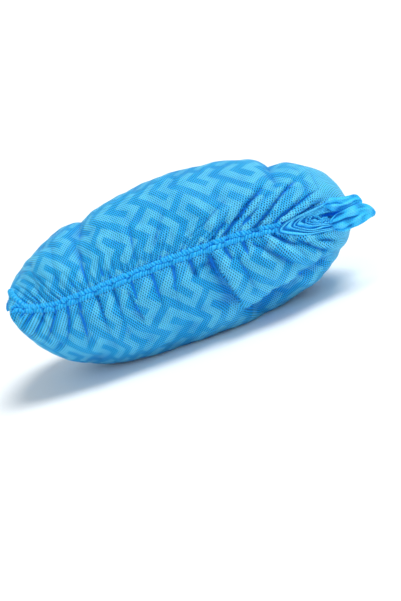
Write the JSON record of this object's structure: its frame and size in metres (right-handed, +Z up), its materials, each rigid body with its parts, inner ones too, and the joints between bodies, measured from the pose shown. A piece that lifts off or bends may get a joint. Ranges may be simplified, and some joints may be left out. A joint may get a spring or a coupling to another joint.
{
  "type": "shoe cover",
  "caption": "Puffed disposable overshoe of printed non-woven sheet, lying on its side, with a gathered elastic slit and welded ends.",
  "frame": {"origin": "middle of the cover's length and width, on the surface it lies on", "axes": "+X from the toe end to the heel end, along the slit; -Y the way the slit faces, with the folded sole at +Y; +Z up"},
  "size_m": [0.2808, 0.1132, 0.1217],
  "materials": {
    "sheet": "matt spunbond non-woven with a lighter printed tread pattern",
    "gathered_hem": "matt spunbond non-woven gathered over elastic",
    "welded_edge": "matt spunbond non-woven pressed flat by welding"
  },
  "bodies": {
    "root": {"body": "sheet", "hem_upper": "gathered_hem", "hem_lower": "gathered_hem", "toe_weld": "welded_edge", "heel_weld": "welded_edge"}
  },
  "joints": []
}
